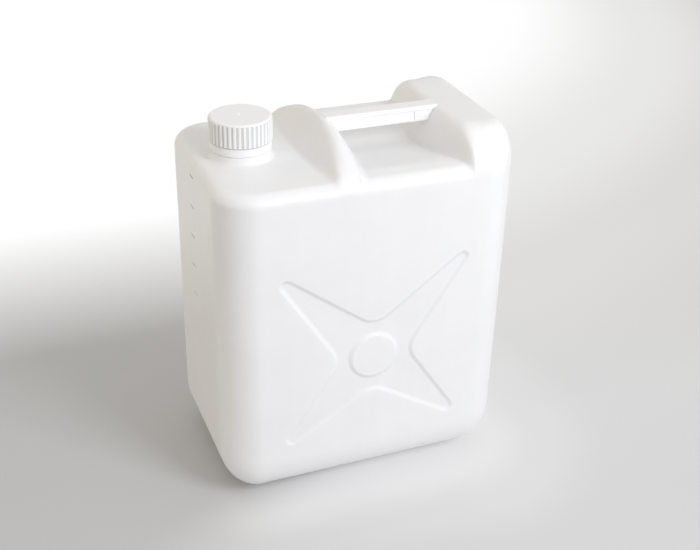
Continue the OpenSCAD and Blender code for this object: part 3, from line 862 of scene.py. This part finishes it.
# Painted light on the paper in front of the can, brighter and glowing, by distance from the flat of its
# base in shares of the reach
FRONT_TURN, FRONT_SPAN_M, FRONT_REACH_M = 0.5, (-0.02, 0.07), 0.2
FRONT_STOPS = ((0.0, 1.0), (0.25, 0.75), (0.5, 0.3), (0.85, 0.0))
FRONT_PAINTED_LIGHT, FRONT_PAINTED_GLOW = 0.22, 0.2

# Overexposed paper: behind the can to the right, by distance from a middle in shares of the reach,
# and to the left by y alone, with the change from one to the other along x
GLOW_MIDDLE_M, GLOW_REACH_M = (-0.05, 1.6, 0.0), 2.0
GLOW_STOPS = ((0.475, 1.0), (0.62, 0.62), (0.72, 0.37), (0.83, 0.19), (0.93, 0.02), (1.0, 0.0))
GLOW_LEFT_SPAN_M, GLOW_CHANGE_SPAN_M = (0.21, 0.48), (-0.05, 0.15)


def painted_front_light(tree, coords, x, y):
    """One where light is painted on the paper just in front of the can, fading out around it."""
    flat = (WIDTH / 2 - HEEL_R) * MM, (DEPTH / 2 - HEEL_R) * MM, 1.0
    past = vector_node(tree, "SUBTRACT", vector_node(tree, "ABSOLUTE", coords), flat)
    off = vector_node(tree, "LENGTH", vector_node(tree, "MAXIMUM", past, (0, 0, 0)))
    faded = ramp(tree, math_node(tree, "MULTIPLY", off, 1 / FRONT_REACH_M), FRONT_STOPS)
    ahead = math_node(tree, "MULTIPLY_ADD", x, FRONT_TURN, math_node(tree, "MULTIPLY", y, -1.0))
    return math_node(tree, "MULTIPLY", map_range(tree, ahead, FRONT_SPAN_M, kind="SMOOTHSTEP"), faded)


def glow_mask(tree, coords, x, y):
    """One where the photograph's paper is overexposed."""
    away = vector_node(tree, "DISTANCE", coords, GLOW_MIDDLE_M)
    right = ramp(tree, math_node(tree, "MULTIPLY", away, 1 / GLOW_REACH_M), GLOW_STOPS)
    left = map_range(tree, y, GLOW_LEFT_SPAN_M)
    change = map_range(tree, x, GLOW_CHANGE_SPAN_M, kind="SMOOTHSTEP")
    return math_node(tree, "MULTIPLY_ADD", math_node(tree, "SUBTRACT", right, left), change, left)


def paper():
    """White paper, darker to the left as painted shade and brighter in front of the can as painted
    light. Only the view and reflections see its overexposed parts glow.
    """
    mat, tree, shader = new_material("paper")
    coords = tree.nodes.new("ShaderNodeTexCoord").outputs["Object"]
    x, y, _ = separate(tree, coords)
    front = painted_front_light(tree, coords, x, y)

    # Painted shade: the paper is darker to the left
    tone = map_range(tree, x, PAPER_SPAN_M, PAPER_LEFT, PAPER_RIGHT, "SMOOTHSTEP")
    # Painted light: brighter paper in front of the can
    tone = math_node(tree, "MULTIPLY_ADD", front, FRONT_PAINTED_LIGHT, tone)
    grain = map_range(tree, noise(tree, coords, PAPER_GRAIN_SCALE, detail=5.0), (0.0, 1.0),
                      PAPER_GRAIN_LOW, PAPER_GRAIN_HIGH)
    shade = scaled(tree, (1.0, 1.0, 1.0), math_node(tree, "MULTIPLY", tone, grain))
    tree.links.new(shade, shader.inputs["Base Color"])
    shader.inputs["Roughness"].default_value = PAPER_ROUGHNESS
    shader.inputs["Specular IOR Level"].default_value = PAPER_SHINE

    path = tree.nodes.new("ShaderNodeLightPath").outputs
    mirrored = math_node(tree, "MAXIMUM", path["Is Glossy Ray"], path["Is Transmission Ray"])
    seen = math_node(tree, "MAXIMUM", path["Is Camera Ray"], mirrored)
    # Overexposed paper glows, and so does the painted light in front of the can
    glow = math_node(tree, "MAXIMUM", glow_mask(tree, coords, x, y),
                     math_node(tree, "MULTIPLY", front, FRONT_PAINTED_GLOW))
    light = add_node(tree, "Emission", [("Color", (1, 1, 1, 1)), ("Strength", 1.0)])
    mixed = add_node(tree, "MixShader", [(0, math_node(tree, "MULTIPLY", glow, seen)),
                                         (1, shader.outputs[0]), (2, light)])
    tree.links.new(mixed, tree.nodes["Material Output"].inputs["Surface"])
    return mat


floor_corners = [(x * FLOOR_HALF, y * FLOOR_HALF, 0) for x, y in ((-1, -1), (1, -1), (1, 1), (-1, 1))]
floor = new_object("floor", floor_corners, [(0, 1, 2, 3)])
floor.data.materials.append(paper())


# Sky: an even colour, more light from overhead, and light added or taken away round directions,
# each with how sharply it fades

Lobe = namedtuple("Lobe", "toward sharp colour")
SKY_EVEN = (0.61, 0.595, 0.56)
SKY_OVERHEAD, OVERHEAD_SHARP = (0.53, 0.55, 0.61), 8.0
SKY_LOBES = (
    Lobe(toward=(0.3, -0.95, 0.0), sharp=3.0, colour=(0.28, 0.3, 0.34)),
    Lobe(toward=(-0.9, 0.43, 0.0), sharp=4.0, colour=(0.85, 0.68, 0.44)),
    Lobe(toward=(-0.7, 0.1, 0.7), sharp=9.0, colour=(-0.52, -0.5, -0.46)),
)


def light_round(tree, cosine, sharp, colour):
    """Colour that is full where the cosine is one."""
    share = math_node(tree, "POWER", math_node(tree, "MAXIMUM", cosine, 0.0), sharp)
    return scaled(tree, colour, share)


def studio_sky():
    """World whose light depends on direction only."""
    world = bpy.data.worlds.new("studio")
    world.use_nodes = True
    tree = world.node_tree
    direction = tree.nodes.new("ShaderNodeTexCoord").outputs["Generated"]
    light = light_round(tree, separate(tree, direction)[2], OVERHEAD_SHARP, SKY_OVERHEAD)
    for lobe in SKY_LOBES:
        cosine = vector_node(tree, "DOT_PRODUCT", direction, lobe.toward)
        light = vector_node(tree, "ADD", light, light_round(tree, cosine, lobe.sharp, lobe.colour))
    background = tree.nodes["Background"]
    tree.links.new(vector_node(tree, "ADD", SKY_EVEN, light), background.inputs["Color"])
    background.inputs["Strength"].default_value = 1.0
    return world


bpy.context.scene.world = studio_sky()


# Key light, to the right of the camera

KEY_PLACE_M, KEY_AIM_M, KEY_SIZE_M = (0.42, -0.88, 0.8), (0.0, 0.0, 0.15), 0.4
KEY_POWER, KEY_COLOUR = 5.8, (0.91, 0.93, 1.0)


def area_light(name, place, aim, size, power, colour):
    """Square lamp that faces the place it aims at."""
    light = bpy.data.lights.new(name, "AREA")
    light.shape, light.size = "SQUARE", size
    light.energy, light.color = power, colour
    obj = bpy.data.objects.new(name, light)
    obj.location = place
    obj.rotation_euler = (Vector(aim) - Vector(place)).to_track_quat("-Z", "Y").to_euler()
    bpy.context.scene.collection.objects.link(obj)
    return obj


area_light("key", KEY_PLACE_M, KEY_AIM_M, KEY_SIZE_M, KEY_POWER, KEY_COLOUR)


# Camera of the photograph. Its place, angles in degrees and lens were found from the can's edges
# and fill marks

CAMERA_PLACE_M = (-0.30399, -0.76218, 0.61954)
CAMERA_ANGLES = (60.7189, -1.3294, -21.686)
CAMERA_LENS, CAMERA_SENSOR = 57.181, 36.0
CAMERA_NEAR_M, CAMERA_FAR_M = 0.05, 30.0

camera = bpy.data.cameras.new("camera")
camera.sensor_width, camera.lens = CAMERA_SENSOR, CAMERA_LENS
camera.clip_start, camera.clip_end = CAMERA_NEAR_M, CAMERA_FAR_M
viewer = bpy.data.objects.new("camera", camera)
viewer.location = CAMERA_PLACE_M
viewer.rotation_euler = [math.radians(angle) for angle in CAMERA_ANGLES]
bpy.context.scene.collection.objects.link(viewer)
bpy.context.scene.camera = viewer

bpy.context.scene.view_settings.view_transform = "Standard"
